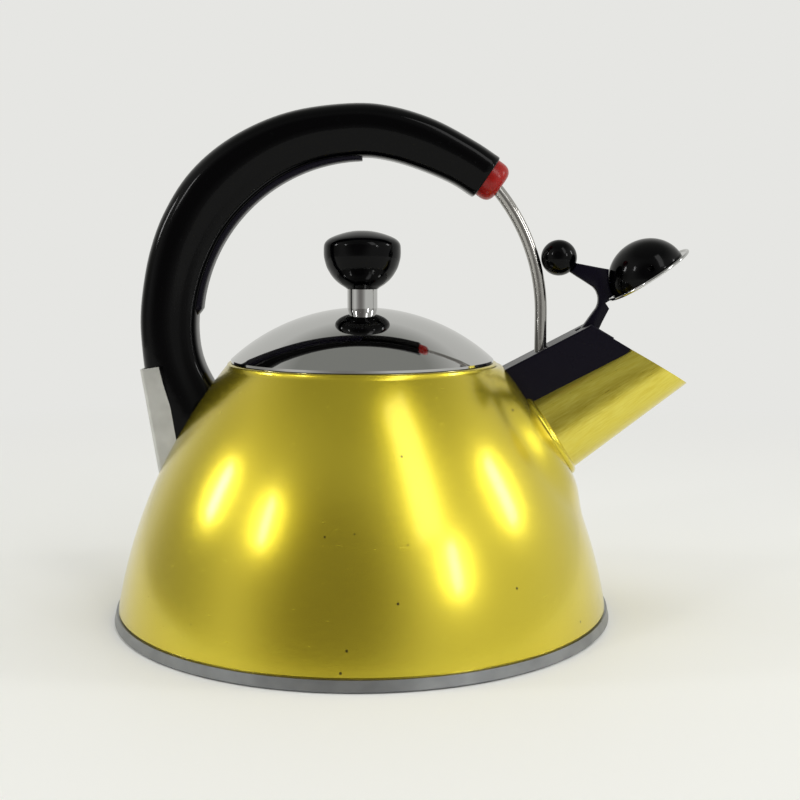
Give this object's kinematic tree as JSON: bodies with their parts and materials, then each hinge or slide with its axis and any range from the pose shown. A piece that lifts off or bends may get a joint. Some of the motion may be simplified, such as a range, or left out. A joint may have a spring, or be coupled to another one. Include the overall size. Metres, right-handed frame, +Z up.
{
  "type": "stovetop whistling kettle",
  "caption": "Domed stovetop kettle with a fixed arched handle, lift-off lid with knob, and a short spout closed by a hinged whistle.",
  "frame": {"origin": "centre of the base's flat underside, on the body's axis", "axes": "+Z up, +X from the handle's foot towards the spout; y = 0 is the middle plane of handle, spout and whistle"},
  "size_m": [0.2488, 0.2158, 0.2203],
  "materials": {
    "yellow_lacquer": "metallic yellow-green lacquer over steel, satin gloss",
    "yellow_lacquer_brushed": "the same lacquer over brushed steel, grain along the spout",
    "base_steel": "dull grey turned base",
    "aluminium_core": "as rolled",
    "brushed_steel": "fine brushed",
    "mirror_steel": "mirror polished stainless steel",
    "chromed_rod": "polished steel rod",
    "plated_steel": "zinc plated",
    "brass": "turned",
    "black_moulding": "glossy black phenolic moulding",
    "black_moulding_satin": "satin black phenolic moulding",
    "red_plastic": "glossy red"
  },
  "bodies": {
    "kettle": {"body_shell": "yellow_lacquer", "base_cap": "base_steel", "base_core": "aluminium_core", "spout_tube": "yellow_lacquer_brushed", "spout_collar": "yellow_lacquer", "spout_block": "black_moulding_satin", "block_screws": "plated_steel", "handle_rod": "chromed_rod", "grub_screw": "plated_steel", "handle_bracket": "brushed_steel", "handle_grip": "black_moulding", "grip_insert": "black_moulding_satin", "handle_screw": "plated_steel", "handle_nut": "brass", "end_cap": "red_plastic", "hinge_pin": "plated_steel", "friction_washers": "plated_steel"},
    "lid": {"lid_dome": "mirror_steel", "lid_skirt": "plated_steel", "knob_ferrule": "mirror_steel", "lid_knob": "black_moulding", "knob_insert": "brass", "knob_washer": "plated_steel", "knob_screw": "plated_steel"},
    "whistle": {"whistle_lever": "black_moulding_satin", "thumb_ball": "black_moulding", "whistle_plate": "mirror_steel", "whistle_cup": "plated_steel", "whistle_cover": "black_moulding"}
  },
  "joints": [
    {"name": "lid_lift", "type": "slide", "parent": "kettle", "child": "lid", "axis": [0, 0, 1], "range_m": [0, 0.028]},
    {"name": "whistle_hinge", "type": "hinge", "parent": "kettle", "child": "whistle", "pos_m": [0.096, 0, 0.1209], "axis": [0, 1, 0], "range_deg": [0, 64]}
  ]
}
